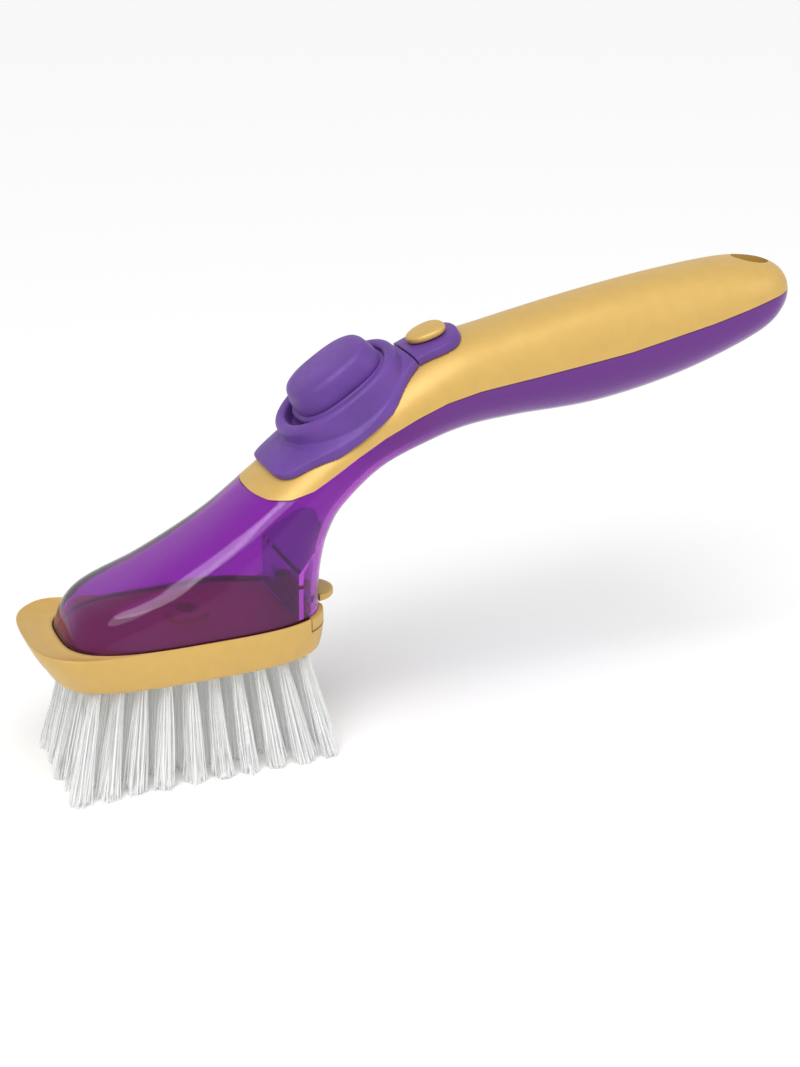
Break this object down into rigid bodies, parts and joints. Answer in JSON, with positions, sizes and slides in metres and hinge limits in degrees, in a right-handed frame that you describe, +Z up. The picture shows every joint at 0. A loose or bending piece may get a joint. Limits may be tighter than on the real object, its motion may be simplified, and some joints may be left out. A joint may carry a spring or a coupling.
{
  "type": "dish wand",
  "caption": "Dish brush whose handle holds soap, with a rubber pump cap, a detachable bristle head with a scraper lip, and a thumb latch.",
  "frame": {"origin": "centre of the bounding box in plan, at the plane that the bristle tips stand on", "axes": "+X from the scraper lip towards the tail of the handle, +Y across the head, +Z up from the bristle tips"},
  "size_m": [0.232, 0.0454, 0.1259],
  "materials": {
    "clear_purple": "clear moulded, polished outside",
    "gold_plastic": "satin metallic gold plastic",
    "purple_rubber": "soft touch",
    "silicone": "translucent",
    "black_rubber": "smooth",
    "nylon": "drawn filament",
    "steel": "drawn wire"
  },
  "bodies": {
    "housing": {"tank_shell": "clear_purple", "handle_cover": "gold_plastic", "tank_floor": "gold_plastic", "soap_valve": "silicone", "valve_retainer": "gold_plastic", "spout_oring": "black_rubber", "cap_strap": "purple_rubber", "strap_stud": "gold_plastic", "latch_pin": "steel", "latch_spring": "steel"},
    "cap": {"pump_cap": "purple_rubber", "dome_membrane": "purple_rubber"},
    "dome": {"pump_dome": "purple_rubber"},
    "latch": {"release_latch": "gold_plastic"},
    "brush_head": {"brush_block": "gold_plastic", "bristle_row_1": "nylon", "bristle_row_2": "nylon", "bristle_row_3": "nylon", "bristle_row_4": "nylon", "bristle_row_5": "nylon", "tuft_anchors": "steel"}
  },
  "joints": [
    {"name": "cap_open", "type": "hinge", "parent": "housing", "child": "cap", "pos_m": [-0.00635, 0, 0.11078], "axis": [0, 1, 0], "range_deg": [0, 80]},
    {"name": "pump_press", "type": "slide", "parent": "cap", "child": "dome", "axis": [0.545, 0, -0.8384], "range_m": [0, 0.0038], "stiffness_N_per_m": 1500, "deforming": ["dome_membrane"]},
    {"name": "latch_press", "type": "hinge", "parent": "housing", "child": "latch", "pos_m": [-0.03935, 0, 0.0464], "axis": [0, 1, 0], "range_deg": [0, 6], "stiffness_Nm_per_rad": 0.5},
    {"name": "head_release", "type": "slide", "parent": "housing", "child": "brush_head", "axis": [0, 0, -1], "range_m": [0, 0.045]}
  ]
}
